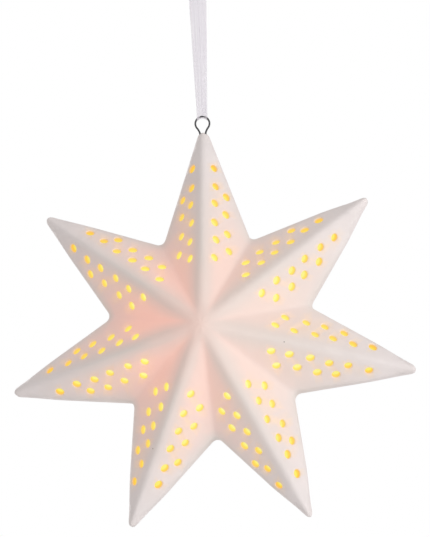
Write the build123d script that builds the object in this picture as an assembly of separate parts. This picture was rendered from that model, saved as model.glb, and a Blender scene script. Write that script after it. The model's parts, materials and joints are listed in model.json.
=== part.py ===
from build123d import *
import math
import os

# A porcelain star that hangs on a ribbon and is lit by a battery lamp in its back.
# Sizes are in millimetres. The star hangs with its front towards -Y and its top point towards +Z.
# Its own parts are drawn lying on the back face, with the front up, and are then stood up.

# Star
POINTS = 7
TIP_CORNER = 82.5
NOTCH_CORNER = 38.0
TIP_ROUND = 2.3
NOTCH_ROUND = 2.7
APEX_HEIGHT = 40.0
TIP_EDGE = 6.5
NOTCH_EDGE = 9.0
WALL = 2.6
BACK_WALL = 3.6
SOLID_TIP = 11.6
RIM_ROUND = 1.0

# Punched holes: one row beside each ridge and a shorter row nearer to the outline
HOLE_DIAMETER = 3.2
RIDGE_ROW_COUNT = 6
RIDGE_ROW_START = 25.5
RIDGE_ROW_OFFSET = 4.9
RIDGE_ROW_LEAN = 0.4
RIDGE_ROW_MARGIN = 2.7
EDGE_ROW_COUNT = 4
EDGE_ROW_START = 28.2
EDGE_ROW_OFFSET = 9.3
EDGE_ROW_LEAN = 1.1
EDGE_ROW_MARGIN = 2.8

# One stencil was laid by eye on the points, clockwise from the top one, so their rows differ a little:
# how much further out they reach at mid row, how far they lie to the left, and how far the left rows lead.
# The hand that punched them wandered too, and no hole comes nearer to the outline than a least margin.
STENCIL_MIDDLE = 44.0
STENCIL_OUT = (1.5, -1.5, 0.0, 1.0, 0.0, 0.0, 0.0)
STENCIL_LEFT = (0.0, 0.5, 0.5, -0.5, 0.0, 0.5, -0.5)
STENCIL_LEAD = (0.0, 0.0, 0.0, -0.25, -0.75, -0.5, 0.5)
HAND_WANDER = 0.3
HAND_TURN = 2.4
OUTLINE_MARGIN = 2.0

# Wire eye in the top point
WIRE_DIAMETER = 0.7
EYE_RADIUS = 2.7
EYE_NECK = 3.45
EYE_FLARE = 5.0
LEG_SPACING = 1.9
LEG_DEPTH = 9.0
EYE_HEIGHT = 4.6
LEG_CLEARANCE = 0.05
LEAN = 2.9

# Ribbon, from the wire eye up to the knot above its hook
RIBBON_DROP = 60.0
RIBBON_WIDTH = 6.5
RIBBON_GATHER = 4.0
RIBBON_THICKNESS = 0.25
GATHER_RISE = 2.0
FULL_WIDTH_RISE = 44.0
NECK_DROP = 7.0
FOLD_ANGLE = 30.0
FOLD_CLEARANCE = 0.4
KNOT_DIAMETER = 4.4
KNOT_LENGTH = 5.6
KNOT_ROUND = 1.7
TAIL_LENGTH = 13.0
TAIL_WIDTH = 5.0
TAIL_SPREAD = 22.0

# Lamp opening in the star's back
BORE_CLEARANCE = 1.0
SEAT_WIDTH = 3.0
REBATE_DEPTH = 2.4
COLLAR_WALL = 2.6
COLLAR_DEPTH = 9.4

# Lamp housing
FLANGE_RECESS = 0.3
FLANGE_THICKNESS = 2.0
FLANGE_CLEARANCE = 0.4
BARREL_DIAMETER = 36.0
BARREL_WALL = 2.0
BARREL_DEPTH = 11.5
FLOOR_HEIGHT = 6.4
FLOOR_THICKNESS = 1.2
FINGER_NOTCH_RADIUS = 4.0
RING_SECTION = 1.6
RING_HEIGHT = 6.6
RING_CLEARANCE = 0.05
POST_HEIGHT = 0.8
POST_DIAMETER = 2.4
POST_CIRCLE = 25.0

# Coin cell, its contacts and its door
CELL_DIAMETER = 20.0
CELL_THICKNESS = 3.2
CELL_CAP_DIAMETER = 17.7
CELL_CAP_STEP = 0.6
CELL_Y = 3.0
CELL_CLEARANCE = 0.3
CELL_HEADROOM = 0.4
POCKET_WALL = 1.1
POCKET_GAP = 1.9
CONTACT_THICKNESS = 0.25
CONTACT_WIDTH = 4.0
CONTACT_TAIL = 1.5
SPRING_REACH = 8.0
DOOR_THICKNESS = 1.2
DOOR_LAP = 1.6
DOOR_CLEARANCE = 0.3
DOOR_GROOVES = 3
DOOR_GROOVE_PITCH = 2.4
PEG_DIAMETER = 1.2
PEG_LENGTH = 0.7
PEG_SPREAD = 60.0
SCREW_DIAMETER = 2.0
SCREW_HEAD_DIAMETER = 3.7
SCREW_HEAD_HEIGHT = 0.75
SCREW_LENGTH = 5.2
SCREW_TAB_RADIUS = 3.6
BOSS_DIAMETER = 4.8
BOSS_GAP = 1.4
FIT = 0.05
LOOSE = 0.3

# Slide switch
SWITCH_WIDTH = 3.8
SWITCH_LENGTH = 8.6
SWITCH_WALL = 0.5
SWITCH_TRAVEL = 2.0
SLIDER_DEPTH = 1.0
KNOB_WIDTH = 1.6
KNOB_LENGTH = 1.8
KNOB_SINK = 0.3
PIN_PITCH = 2.5
PIN_WIDTH = 0.5
PIN_THICKNESS = 0.3

# Circuit board, light and front cap
BOARD_CLEARANCE = 0.4
BOARD_THICKNESS = 1.2
SOLDER_STANDOFF = 0.4
LED_DIAMETER = 5.0
LED_LIP_DIAMETER = 5.8
LED_LIP = 1.0
LED_LENGTH = 8.6
LED_STANDOFF = 0.6
LEAD_SPACING = 2.54
LEAD_WIDTH = 0.5
RESISTOR_LENGTH = 3.2
RESISTOR_WIDTH = 1.6
RESISTOR_HEIGHT = 0.55
RESISTOR_X = 7.0
CAP_THICKNESS = 1.5
CAP_SKIRT = 1.2
CAP_COLLAR_WALL = 1.8
CAP_COLLAR_HEIGHT = 1.5
CAP_ROUND = 0.7

# Slopes of the pleats, from the heights at the centre, the points and the notches
SECTOR = math.pi / POINTS
NOTCH_ALONG = NOTCH_CORNER * math.cos(SECTOR)
NOTCH_ACROSS = NOTCH_CORNER * math.sin(SECTOR)
TIP_HALF_ANGLE = math.atan2(NOTCH_ACROSS, TIP_CORNER - NOTCH_ALONG)
NOTCH_HALF_ANGLE = TIP_HALF_ANGLE + SECTOR
TIP_END = TIP_CORNER - TIP_ROUND * (1 / math.sin(TIP_HALF_ANGLE) - 1)
RIDGE_SLOPE = (APEX_HEIGHT - TIP_EDGE) / TIP_END
VALLEY_SLOPE = (APEX_HEIGHT - NOTCH_EDGE) / NOTCH_CORNER
SIDE_SLOPE = (VALLEY_SLOPE - RIDGE_SLOPE * math.cos(SECTOR)) / math.sin(SECTOR)
FACE_STRETCH = math.sqrt(1 + RIDGE_SLOPE**2 + SIDE_SLOPE**2)

# Widths of the lamp and of the opening that takes it
BORE_DIAMETER = BARREL_DIAMETER + 2 * BORE_CLEARANCE
REBATE_DIAMETER = BORE_DIAMETER + 2 * SEAT_WIDTH
BARREL_INSIDE = BARREL_DIAMETER - 2 * BARREL_WALL
BOARD_DIAMETER = BARREL_INSIDE - 2 * BOARD_CLEARANCE

# Places inside the lamp: the switch by the barrel's wall, the cell beside it and the screw below the cell
POCKET_DIAMETER = CELL_DIAMETER + 2 * CELL_CLEARANCE
POCKET_OUTSIDE = POCKET_DIAMETER + 2 * POCKET_WALL
SWITCH_REACH = math.sqrt((BARREL_INSIDE / 2) ** 2 - (SWITCH_LENGTH / 2) ** 2)
SWITCH_X = SWITCH_REACH - LOOSE - SWITCH_WIDTH / 2
CELL_X = SWITCH_X - SWITCH_WIDTH / 2 - POCKET_GAP - POCKET_OUTSIDE / 2
SCREW_Y = CELL_Y - POCKET_OUTSIDE / 2 - BOSS_GAP - BOSS_DIAMETER / 2

# Heights inside the lamp, measured in from the star's back face
FLANGE_TOP = FLANGE_RECESS + FLANGE_THICKNESS
DOOR_TOP = FLANGE_RECESS + DOOR_THICKNESS
CELL_BOTTOM = DOOR_TOP + CELL_HEADROOM
CELL_TOP = CELL_BOTTOM + CELL_THICKNESS
FLOOR_TOP = FLOOR_HEIGHT + FLOOR_THICKNESS
BOARD_BOTTOM = FLOOR_TOP + POST_HEIGHT
BOARD_TOP = BOARD_BOTTOM + BOARD_THICKNESS
SOLDER_TOP = BOARD_TOP + SOLDER_STANDOFF
LED_BASE = BOARD_TOP + LED_STANDOFF

# The star's frame stood up under the eye, then leant so that its balance point hangs below the wire
WIRE_RADIUS = WIRE_DIAMETER / 2
CENTRE_DROP = EYE_RADIUS + EYE_NECK + TIP_END
STAND = Pos(0, EYE_HEIGHT, -CENTRE_DROP) * Rot(90, 0, 0)
HANG = Pos(0, 0, -RIBBON_DROP) * Rot(LEAN, 0, 0) * STAND


def disc(diameter, bottom, top, x=0.0, y=0.0):
    return Pos(x, y, bottom) * extrude(Circle(diameter / 2), top - bottom)


def block(width, length, bottom, top, x=0.0, y=0.0):
    return Pos(x, y, bottom) * extrude(Rectangle(width, length), top - bottom)


def star_outline(tip_corner, notch_corner, tip_round, notch_round):
    corners = []
    for k in range(2 * POINTS):
        radius = notch_corner if k % 2 else tip_corner
        angle = math.pi / 2 + k * SECTOR
        corners.append((radius * math.cos(angle), radius * math.sin(angle)))
    rounds = [tip_round, notch_round] * POINTS
    return make_face(FilletPolyline(*corners, radius=rounds, close=True))


def pleated_block(apex_height):
    """Everything under the pleated front, carried out past the outline and down past the back."""
    rim = []
    for k in range(2 * POINTS):
        radius = NOTCH_CORNER + NOTCH_ROUND if k % 2 else TIP_CORNER
        slope = VALLEY_SLOPE if k % 2 else RIDGE_SLOPE
        angle = math.pi / 2 + k * SECTOR
        rim.append((radius * math.cos(angle), radius * math.sin(angle), apex_height - slope * radius))
    foot = [(x, y, -APEX_HEIGHT) for x, y, z in rim]
    apex = (0, 0, apex_height)
    faces = [Face(Wire.make_polygon(foot))]
    for k in range(2 * POINTS):
        after = (k + 1) % (2 * POINTS)
        faces.append(Face(Wire.make_polygon([apex, rim[k], rim[after]])))
        faces.append(Face(Wire.make_polygon([rim[k], rim[after], foot[after], foot[k]])))
    return Solid(Shell(faces))


def hole_row(count, start, first_offset, last_offset, margin):
    """Plan places of a row, along and off the ridge, whose last hole keeps a margin to the outline."""
    reach = last_offset + margin / math.cos(TIP_HALF_ANGLE)
    end = TIP_CORNER - reach / math.tan(TIP_HALF_ANGLE)
    places = []
    for k in range(count):
        share = k / (count - 1)
        offset = first_offset + share * (last_offset - first_offset)
        places.append((start + share * (end - start), offset))
    return places


def hole_places(face, side):
    """Plan places of one face's holes: the even rows, as the stencil lay on that point."""
    ridge_row_end = RIDGE_ROW_OFFSET - RIDGE_ROW_LEAN
    edge_row_end = EDGE_ROW_OFFSET - EDGE_ROW_LEAN
    places = hole_row(RIDGE_ROW_COUNT, RIDGE_ROW_START, RIDGE_ROW_OFFSET, ridge_row_end, RIDGE_ROW_MARGIN)
    places += hole_row(EDGE_ROW_COUNT, EDGE_ROW_START, EDGE_ROW_OFFSET, edge_row_end, EDGE_ROW_MARGIN)
    point = face // 2 % len(STENCIL_OUT)
    stretch = 1 + (STENCIL_OUT[point] + side * STENCIL_LEAD[point]) / STENCIL_MIDDLE
    margin = OUTLINE_MARGIN / math.cos(TIP_HALF_ANGLE)
    laid = []
    for k, (even_along, even_across) in enumerate(places):
        turn = HAND_TURN * (face * len(places) + k)
        along = even_along * stretch + HAND_WANDER * math.cos(turn)
        across = even_across + side * STENCIL_LEFT[point] + HAND_WANDER * math.sin(turn)
        widest = (TIP_CORNER - along) * math.tan(TIP_HALF_ANGLE) - margin
        laid.append((along, min(across, widest)))
    return laid


def hole_cutters():
    """Round punches square to each face."""
    cutters = []
    for face in range(2 * POINTS):
        side = -1 if face % 2 else 1
        turn = math.degrees(math.pi / 2 - (face // 2) * 2 * SECTOR)
        for along, across in hole_places(face, side):
            height = APEX_HEIGHT - RIDGE_SLOPE * along - SIDE_SLOPE * across
            face_plane = Plane(
                origin=(along, side * across, height),
                x_dir=(1, 0, -RIDGE_SLOPE),
                z_dir=(RIDGE_SLOPE, side * SIDE_SLOPE, 1),
            )
            punch = Pos(0, 0, -WALL - HOLE_DIAMETER / 4) * extrude(
                Circle(HOLE_DIAMETER / 2), 2 * WALL + HOLE_DIAMETER / 4
            )
            cutters.append(Rot(0, 0, turn) * (face_plane * punch))
    return cutters


def eye_bar(radius, leg_depth):
    """A round bar bent into a drop-shaped eye, with two legs that stand in the top point."""
    leg_x = LEG_SPACING / 2
    flare_x = leg_x + EYE_FLARE
    flare_drop = math.sqrt((EYE_RADIUS + EYE_FLARE) ** 2 - flare_x**2)
    ring_share = EYE_RADIUS / (EYE_RADIUS + EYE_FLARE)
    centre_y = TIP_END + EYE_NECK
    leg_end = TIP_END - leg_depth
    neck = (leg_x, centre_y - flare_drop)
    join = (flare_x * ring_share, centre_y - flare_drop * ring_share)
    top = (0, centre_y + EYE_RADIUS)
    path = Polyline((leg_x, leg_end), neck)
    path += TangentArc(neck, join, tangent=(0, 1))
    path += ThreePointArc(join, top, (-join[0], join[1]))
    path += TangentArc((-neck[0], neck[1]), (-join[0], join[1]), tangent=(0, 1))
    path += Polyline((-neck[0], neck[1]), (-leg_x, leg_end))
    section = Plane(origin=(leg_x, leg_end, 0), z_dir=(0, 1, 0)) * Circle(radius)
    return Pos(0, 0, EYE_HEIGHT) * sweep(section, path=path)


def make_star_shell():
    outline = star_outline(TIP_CORNER, NOTCH_CORNER, TIP_ROUND, NOTCH_ROUND)
    outside = pleated_block(APEX_HEIGHT) & extrude(outline, APEX_HEIGHT)
    back_edges = outside.edges().group_by(Axis.Z)[0]
    outside = fillet(back_edges, RIM_ROUND)

    inner_outline = star_outline(
        TIP_CORNER - WALL / math.sin(TIP_HALF_ANGLE),
        NOTCH_CORNER - WALL / math.sin(NOTCH_HALF_ANGLE),
        TIP_ROUND,
        NOTCH_ROUND + WALL,
    )
    inner_outline &= Circle(TIP_END - SOLID_TIP)
    cavity = pleated_block(APEX_HEIGHT - WALL * FACE_STRETCH)
    cavity &= Pos(0, 0, BACK_WALL) * extrude(inner_outline, APEX_HEIGHT)
    cavity -= disc(REBATE_DIAMETER + 2 * COLLAR_WALL, 0, COLLAR_DEPTH)

    shell = outside - cavity
    shell -= disc(BORE_DIAMETER, 0, COLLAR_DEPTH)
    shell -= disc(REBATE_DIAMETER, 0, REBATE_DEPTH)
    shell -= hole_cutters()
    shell -= eye_bar(WIRE_RADIUS + LEG_CLEARANCE, LEG_DEPTH + LEG_CLEARANCE)
    return shell


def make_wire_eye():
    return eye_bar(WIRE_RADIUS, LEG_DEPTH)


# Ribbon, drawn as it hangs. Each strand is a flat strip that goes straight from the eye to the hook.
FOLD_RADIUS = WIRE_RADIUS + FOLD_CLEARANCE
STRAND_Y = FOLD_RADIUS + RIBBON_THICKNESS / 2
EYE_CENTRE_Z = -RIBBON_DROP - EYE_RADIUS
RIBBON_ROUTE = [
    (0, 0, -RIBBON_DROP - STRAND_Y),
    (0, STRAND_Y, -RIBBON_DROP),
    (0, STRAND_Y, -FOLD_RADIUS),
    (0, 0, RIBBON_THICKNESS / 2),
]


def make_ribbon_strand(side):
    """One strand: flat from the gathered fold at the eye, wider above, and drawn in over the hook."""
    beside_wire, beside_hook = RIBBON_ROUTE[1:3]
    fold = math.radians(FOLD_ANGLE)
    foot = (EYE_RADIUS * math.sin(fold), EYE_CENTRE_Z + EYE_RADIUS * math.cos(fold))
    right = [
        foot,
        (RIBBON_GATHER / 2, GATHER_RISE - RIBBON_DROP),
        (RIBBON_WIDTH / 2, FULL_WIDTH_RISE - RIBBON_DROP),
        (RIBBON_WIDTH / 2, -NECK_DROP),
        (RIBBON_GATHER / 2, beside_hook[2]),
    ]
    left = [(-x, z) for x, z in reversed(right)]
    sides = Polyline(*right) + Polyline(right[-1], left[0]) + Polyline(*left)
    face = make_face(sides + ThreePointArc(left[-1], (0, beside_wire[2]), foot))
    strand = Pos(0, beside_wire[1], 0) * extrude(Plane.XZ * face, RIBBON_THICKNESS / 2, both=True)

    turn = Circle(FOLD_RADIUS + RIBBON_THICKNESS) - Circle(FOLD_RADIUS)
    turn &= Pos(FOLD_RADIUS, FOLD_RADIUS) * Rectangle(2 * FOLD_RADIUS, 2 * FOLD_RADIUS)
    strand += Pos(0, 0, beside_hook[2]) * extrude(Plane.YZ * turn, RIBBON_GATHER / 2, both=True)
    if side > 0:
        return strand
    return mirror(strand, Plane.XZ) + make_ribbon_fold()


def make_ribbon_fold():
    """The turn under the wire, which follows the wire's own curve."""
    ring = Circle(FOLD_RADIUS + RIBBON_THICKNESS) - Circle(FOLD_RADIUS)
    ring &= Pos(0, -FOLD_RADIUS) * Rectangle(4 * FOLD_RADIUS, 2 * FOLD_RADIUS)
    section = Pos(0, 0, -RIBBON_DROP) * (Plane.YZ * ring)
    axis = Axis((0, 0, EYE_CENTRE_Z), (0, 1, 0))
    half = revolve(section, axis, FOLD_ANGLE)
    return half + mirror(half, Plane.YZ)


def make_ribbon_knot():
    """Both ends tied together over the hook, with two short tails."""
    middle = RIBBON_THICKNESS + KNOT_DIAMETER / 2
    barrel = extrude(Plane.YZ * Circle(KNOT_DIAMETER / 2), KNOT_LENGTH / 2, both=True)
    knot = fillet(barrel.edges().filter_by(GeomType.CIRCLE), KNOT_ROUND)
    for side in (-1, 1):
        tail = extrude(Plane.XY * Rectangle(TAIL_WIDTH, RIBBON_THICKNESS), TAIL_LENGTH)
        knot += Rot(0, side * TAIL_SPREAD, 0) * (Pos(0, side * RIBBON_THICKNESS, 0) * tail)
    return Pos(0, 0, middle) * knot


def door_outline(margin):
    """The door's shape: round over the cell, with a tab for the screw."""
    over_cell = Pos(CELL_X, CELL_Y) * Circle(POCKET_DIAMETER / 2 + DOOR_LAP + margin)
    over_screw = Pos(CELL_X, SCREW_Y) * Circle(SCREW_TAB_RADIUS + margin)
    return make_hull(over_cell.edges() + over_screw.edges())


def peg_places():
    radius = POCKET_DIAMETER / 2 + DOOR_LAP / 2
    places = []
    for angle in (90 - PEG_SPREAD / 2, 90 + PEG_SPREAD / 2):
        turn = math.radians(angle)
        places.append((CELL_X + radius * math.cos(turn), CELL_Y + radius * math.sin(turn)))
    return places


PLUS_Y = CELL_Y - CELL_DIAMETER / 2 - CONTACT_THICKNESS / 2
SPRING_TAIL_X = CELL_X - SPRING_REACH / 2
SWITCH_BOTTOM = FLANGE_TOP + FIT
SWITCH_TOP = FLOOR_HEIGHT - FIT
SLIDER_LENGTH = SWITCH_LENGTH - 2 * SWITCH_WALL - SWITCH_TRAVEL - 2 * LOOSE
SLIDER_WIDTH = SWITCH_WIDTH - 2 * SWITCH_WALL - 2 * FIT
SLIDER_BOTTOM = SWITCH_BOTTOM + SWITCH_WALL + FIT
SLIDER_Y = -SWITCH_TRAVEL / 2
KNOB_SLOT_WIDTH = KNOB_WIDTH + 2 * LOOSE
KNOB_SLOT_LENGTH = KNOB_LENGTH + SWITCH_TRAVEL + 2 * LOOSE


def make_lamp_housing():
    """Cup with a flange that sits in the star's back, a cell pocket and a floor for the contacts."""
    flange = REBATE_DIAMETER - 2 * FLANGE_CLEARANCE
    housing = disc(flange, FLANGE_RECESS, FLANGE_TOP)
    housing += disc(BARREL_DIAMETER, FLANGE_RECESS, BARREL_DEPTH)
    housing -= disc(BARREL_INSIDE, FLANGE_TOP, BARREL_DEPTH)
    housing += disc(BARREL_INSIDE, FLOOR_HEIGHT, FLOOR_TOP)
    housing += disc(POCKET_OUTSIDE, FLANGE_RECESS, FLOOR_HEIGHT, CELL_X, CELL_Y)
    housing += disc(BOSS_DIAMETER, FLANGE_RECESS, FLOOR_HEIGHT, CELL_X, SCREW_Y)
    housing -= disc(POCKET_DIAMETER, FLANGE_RECESS, FLOOR_HEIGHT, CELL_X, CELL_Y)
    housing -= Pos(0, 0, FLANGE_RECESS) * extrude(door_outline(DOOR_CLEARANCE), DOOR_THICKNESS)
    screw_end = FLANGE_RECESS + SCREW_LENGTH + LOOSE
    housing -= disc(SCREW_DIAMETER + 2 * FIT, FLANGE_RECESS, screw_end, CELL_X, SCREW_Y)
    for x, y in peg_places():
        housing -= disc(PEG_DIAMETER + 2 * FIT, DOOR_TOP, FLANGE_TOP + PEG_LENGTH, x, y)
    housing -= block(KNOB_SLOT_WIDTH, KNOB_SLOT_LENGTH, FLANGE_RECESS, FLANGE_TOP, SWITCH_X)
    housing -= disc(2 * FINGER_NOTCH_RADIUS, FLANGE_RECESS, FLANGE_TOP, 0, -flange / 2)

    ring_seat = BORE_DIAMETER - 2 * RING_SECTION - 4 * RING_CLEARANCE
    groove = RING_SECTION / 2 + RING_CLEARANCE
    housing -= disc(BORE_DIAMETER, RING_HEIGHT - groove, RING_HEIGHT + groove) - disc(
        ring_seat, RING_HEIGHT - groove, RING_HEIGHT + groove
    )
    leaf_slot = CONTACT_THICKNESS + 2 * FIT
    tail_slot = CONTACT_TAIL + 2 * FIT
    housing -= block(CONTACT_WIDTH + 2 * FIT, leaf_slot, DOOR_TOP, FLOOR_HEIGHT, CELL_X, PLUS_Y)
    housing -= block(tail_slot, leaf_slot, FLOOR_HEIGHT, FLOOR_TOP, CELL_X, PLUS_Y)
    housing -= block(leaf_slot, tail_slot, FLOOR_HEIGHT, FLOOR_TOP, SPRING_TAIL_X, CELL_Y)
    pin_slot = (PIN_THICKNESS + 2 * LOOSE, PIN_WIDTH + 2 * LOOSE)
    for k in (-1, 0, 1):
        housing -= block(*pin_slot, FLOOR_HEIGHT, FLOOR_TOP, SWITCH_X, k * PIN_PITCH)
    for angle in (90, 210, 330):
        turn = math.radians(angle)
        x = POST_CIRCLE / 2 * math.cos(turn)
        y = POST_CIRCLE / 2 * math.sin(turn)
        housing += disc(POST_DIAMETER, FLOOR_TOP, BOARD_BOTTOM, x, y)
    return housing


def make_grip_ring():
    middle = (BORE_DIAMETER - RING_SECTION) / 2 - RING_CLEARANCE
    return Pos(0, 0, RING_HEIGHT) * Torus(middle, RING_SECTION / 2)


def make_front_cap():
    """Closes the lamp's front, presses the board on its posts and steadies the light."""
    inside = BARREL_INSIDE - 2 * FIT
    opening = LED_DIAMETER + 2 * FIT
    top = BARREL_DEPTH + CAP_THICKNESS
    cap = disc(BARREL_DIAMETER, BARREL_DEPTH, top)
    cap = fillet(cap.edges().group_by(Axis.Z)[-1], CAP_ROUND)
    cap += disc(inside, BOARD_TOP, BARREL_DEPTH) - disc(inside - 2 * CAP_SKIRT, BOARD_TOP, BARREL_DEPTH)
    cap += disc(opening + 2 * CAP_COLLAR_WALL, BARREL_DEPTH, top + CAP_COLLAR_HEIGHT)
    cap -= disc(opening, BARREL_DEPTH, top + CAP_COLLAR_HEIGHT)
    return cap - disc(LED_LIP_DIAMETER + 2 * LOOSE, BOARD_TOP, LED_BASE + LED_LIP + FIT)


def make_circuit_board():
    board = disc(BOARD_DIAMETER, BOARD_BOTTOM, BOARD_TOP)
    for side in (-1, 1):
        lead_x = side * LEAD_SPACING / 2
        board -= block(LEAD_WIDTH + 2 * FIT, LEAD_WIDTH + 2 * FIT, BOARD_BOTTOM, BOARD_TOP, lead_x)
    leaf_slot = CONTACT_THICKNESS + 2 * FIT
    tail_slot = CONTACT_TAIL + 2 * FIT
    board -= block(tail_slot, leaf_slot, BOARD_BOTTOM, BOARD_TOP, CELL_X, PLUS_Y)
    board -= block(leaf_slot, tail_slot, BOARD_BOTTOM, BOARD_TOP, SPRING_TAIL_X, CELL_Y)
    pin_slot = (PIN_THICKNESS + 2 * FIT, PIN_WIDTH + 2 * FIT)
    for k in (-1, 0, 1):
        board -= block(*pin_slot, BOARD_BOTTOM, BOARD_TOP, SWITCH_X, k * PIN_PITCH)
    return board


def make_led():
    led = disc(LED_LIP_DIAMETER, LED_BASE, LED_BASE + LED_LIP)
    led += disc(LED_DIAMETER, LED_BASE, LED_BASE + LED_LENGTH - LED_DIAMETER / 2)
    return led + Pos(0, 0, LED_BASE + LED_LENGTH - LED_DIAMETER / 2) * Sphere(LED_DIAMETER / 2)


def make_led_leads():
    bottom = BOARD_BOTTOM - SOLDER_STANDOFF
    leads = []
    for side in (-1, 1):
        leads.append(block(LEAD_WIDTH, LEAD_WIDTH, bottom, LED_BASE, side * LEAD_SPACING / 2))
    return Compound(leads)


def make_positive_contact():
    """Upright leaf against the cell's lower rim, with a tail through the floor and the board."""
    leaf = block(CONTACT_WIDTH, CONTACT_THICKNESS, CELL_BOTTOM, FLOOR_HEIGHT, CELL_X, PLUS_Y)
    return leaf + block(CONTACT_TAIL, CONTACT_THICKNESS, FLOOR_HEIGHT, SOLDER_TOP, CELL_X, PLUS_Y)


def make_negative_spring():
    """Leaf on the pocket floor that rises to press on the cell, with a tail through the board."""
    base_x = SPRING_TAIL_X - CONTACT_THICKNESS / 2
    tip_x = base_x + SPRING_REACH
    base_z = FLOOR_HEIGHT
    profile = Polyline(
        (base_x, base_z),
        (base_x + SPRING_REACH / 2, base_z),
        (tip_x, CELL_TOP + CONTACT_THICKNESS),
        (tip_x, CELL_TOP),
        (base_x + SPRING_REACH / 2, base_z - CONTACT_THICKNESS),
        (base_x, base_z - CONTACT_THICKNESS),
        close=True,
    )
    leaf = extrude(Plane.XZ * make_face(profile), CONTACT_WIDTH / 2, both=True)
    return Pos(0, CELL_Y, 0) * leaf + block(
        CONTACT_THICKNESS, CONTACT_TAIL, base_z - CONTACT_THICKNESS, SOLDER_TOP, SPRING_TAIL_X, CELL_Y
    )


def make_resistor():
    return block(RESISTOR_LENGTH, RESISTOR_WIDTH, BOARD_TOP, BOARD_TOP + RESISTOR_HEIGHT, RESISTOR_X)


def make_coin_cell():
    shoulder = CELL_TOP - CELL_CAP_STEP
    cell = disc(CELL_DIAMETER, CELL_BOTTOM, shoulder, CELL_X, CELL_Y)
    cell = fillet(cell.edges(), CELL_CAP_STEP / 2)
    return cell + disc(CELL_CAP_DIAMETER, CELL_BOTTOM, CELL_TOP, CELL_X, CELL_Y)


def make_battery_door():
    """Flush lid with two locating pegs, finger grooves and a recess for its captive screw."""
    door = Pos(0, 0, FLANGE_RECESS) * extrude(door_outline(0), DOOR_THICKNESS)
    for x, y in peg_places():
        door += disc(PEG_DIAMETER, DOOR_TOP, DOOR_TOP + PEG_LENGTH, x, y)
    head_recess = SCREW_HEAD_DIAMETER + 2 * LOOSE
    door -= disc(head_recess, FLANGE_RECESS, FLANGE_RECESS + SCREW_HEAD_HEIGHT, CELL_X, SCREW_Y)
    door -= disc(SCREW_DIAMETER + 2 * LOOSE, FLANGE_RECESS, DOOR_TOP, CELL_X, SCREW_Y)
    groove_depth = DOOR_THICKNESS / 3
    for k in range(DOOR_GROOVES):
        y = CELL_Y + CELL_DIAMETER / 4 + k * DOOR_GROOVE_PITCH - DOOR_GROOVE_PITCH
        groove = SlotOverall(CELL_DIAMETER / 2, DOOR_GROOVE_PITCH / 2)
        door -= Pos(CELL_X, y, FLANGE_RECESS) * extrude(groove, groove_depth)
    return door


def make_door_screw():
    bottom = FLANGE_RECESS
    screw = disc(SCREW_HEAD_DIAMETER, bottom, bottom + SCREW_HEAD_HEIGHT, CELL_X, SCREW_Y)
    screw += disc(SCREW_DIAMETER, bottom, bottom + SCREW_LENGTH, CELL_X, SCREW_Y)
    slot = SCREW_HEAD_HEIGHT * 0.6
    for length, width in ((SCREW_DIAMETER, slot), (slot, SCREW_DIAMETER)):
        screw -= block(length, width, bottom, bottom + slot, CELL_X, SCREW_Y)
    return screw


def make_switch_body():
    inner_width = SWITCH_WIDTH - 2 * SWITCH_WALL
    inner_length = SWITCH_LENGTH - 2 * SWITCH_WALL
    body = block(SWITCH_WIDTH, SWITCH_LENGTH, SWITCH_BOTTOM, SWITCH_TOP, SWITCH_X)
    room_bottom = SWITCH_BOTTOM + SWITCH_WALL
    room_top = room_bottom + SLIDER_DEPTH + 2 * FIT
    body -= block(inner_width, inner_length, room_bottom, room_top, SWITCH_X)
    return body - block(KNOB_SLOT_WIDTH, KNOB_SLOT_LENGTH, SWITCH_BOTTOM, room_bottom, SWITCH_X)


def make_switch_slider():
    slider_top = SLIDER_BOTTOM + SLIDER_DEPTH
    slider = block(SLIDER_WIDTH, SLIDER_LENGTH, SLIDER_BOTTOM, slider_top, SWITCH_X, SLIDER_Y)
    knob_end = FLANGE_RECESS + KNOB_SINK
    return slider + block(KNOB_WIDTH, KNOB_LENGTH, knob_end, SLIDER_BOTTOM, SWITCH_X, SLIDER_Y)


def make_switch_pins():
    pins = []
    for k in (-1, 0, 1):
        pins.append(block(PIN_THICKNESS, PIN_WIDTH, SWITCH_TOP, SOLDER_TOP, SWITCH_X, k * PIN_PITCH))
    return Compound(pins)


STAR_PARTS = {
    "star_shell": make_star_shell(),
    "wire_eye": make_wire_eye(),
    "lamp_housing": make_lamp_housing(),
    "grip_ring": make_grip_ring(),
    "lamp_front_cap": make_front_cap(),
    "circuit_board": make_circuit_board(),
    "led": make_led(),
    "led_leads": make_led_leads(),
    "resistor": make_resistor(),
    "positive_contact": make_positive_contact(),
    "negative_spring": make_negative_spring(),
    "coin_cell": make_coin_cell(),
    "battery_door": make_battery_door(),
    "door_screw": make_door_screw(),
    "switch_body": make_switch_body(),
    "switch_slider": make_switch_slider(),
    "switch_pins": make_switch_pins(),
}
RIBBON_PARTS = {
    "ribbon_front_strand": make_ribbon_strand(-1),
    "ribbon_back_strand": make_ribbon_strand(1),
    "ribbon_knot": make_ribbon_knot(),
}

os.makedirs("parts", exist_ok=True)
for name, part in STAR_PARTS.items():
    export_step(HANG * part, f"parts/{name}.step")
for name, part in RIBBON_PARTS.items():
    export_step(part, f"parts/{name}.step")
print("ribbon route", RIBBON_ROUTE)
print("ribbon turns round the wire and the hook at radius", FOLD_RADIUS)
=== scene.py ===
import json
import math

import bmesh
import bpy
import numpy as np
from mathutils import Matrix, Vector
from mathutils.geometry import delaunay_2d_cdt
from mathutils.kdtree import KDTree


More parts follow.
